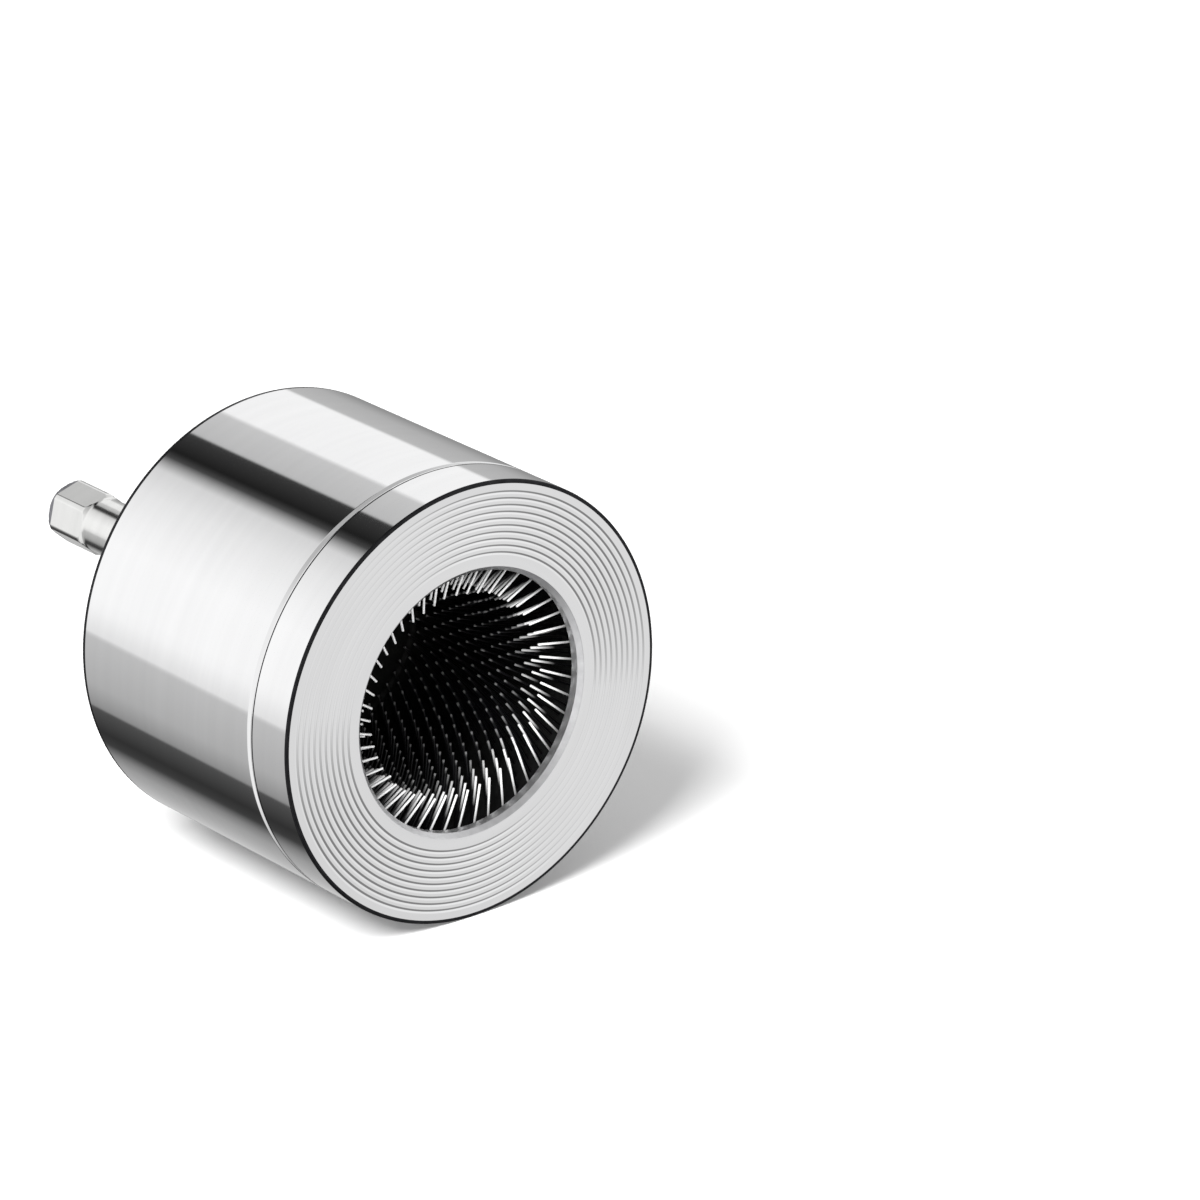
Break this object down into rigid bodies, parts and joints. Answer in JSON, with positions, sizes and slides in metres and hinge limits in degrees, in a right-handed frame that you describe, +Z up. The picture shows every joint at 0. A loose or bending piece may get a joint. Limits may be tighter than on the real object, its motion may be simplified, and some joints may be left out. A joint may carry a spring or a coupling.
{
  "type": "drill-driven external tube cleaning brush",
  "caption": "Cup-shaped tube cleaning brush: a turned barrel with a screwed front cap, lined with leaning steel wires, on a hexagonal drill shank",
  "frame": {"origin": "centre of the mouth, on the front face", "axes": "the tool lies on its side with +Z up; the front face looks along -Y and the shank points along +Y"},
  "size_m": [0.048, 0.0716, 0.048],
  "materials": {
    "turned_alloy": "bright, finely turned",
    "wire_steel": "bright drawn wire",
    "woven_cloth": "plied woven cloth",
    "dark_rubber": "matte",
    "hard_fibre": "matte, pressed",
    "spring_steel": "oil-hardened",
    "plated_steel": "nickel-plated"
  },
  "bodies": {
    "body": {"barrel": "turned_alloy", "stop_disc": "hard_fibre", "liner_cloth": "woven_cloth", "liner_rubber": "dark_rubber", "lock_nut": "plated_steel", "lock_washer": "spring_steel", "hexagon_shank": "plated_steel", "wire_row_01": "wire_steel", "wire_row_02": "wire_steel", "wire_row_03": "wire_steel", "wire_row_04": "wire_steel", "wire_row_05": "wire_steel", "wire_row_06": "wire_steel", "wire_row_07": "wire_steel", "wire_row_08": "wire_steel", "wire_row_09": "wire_steel", "wire_row_10": "wire_steel", "wire_row_11": "wire_steel", "wire_row_12": "wire_steel", "wire_row_13": "wire_steel", "wire_row_14": "wire_steel", "wire_row_15": "wire_steel", "wire_row_16": "wire_steel", "wire_row_17": "wire_steel"},
    "washer": {"thrust_washer": "spring_steel"},
    "cap": {"front_cap": "turned_alloy"}
  },
  "joints": [
    {"name": "cap_travel", "type": "slide", "parent": "body", "child": "washer", "axis": [0, -1, 0], "range_m": [0, 0.00675]},
    {"name": "cap_turn", "type": "hinge", "parent": "washer", "child": "cap", "pos_m": [0, 0, 0], "axis": [0, -1, 0], "range_deg": [0, 1620]}
  ],
  "couplings": [
    {"joint": "cap_travel", "follows": "cap_turn", "m_per_rad": 0.00023873}
  ]
}
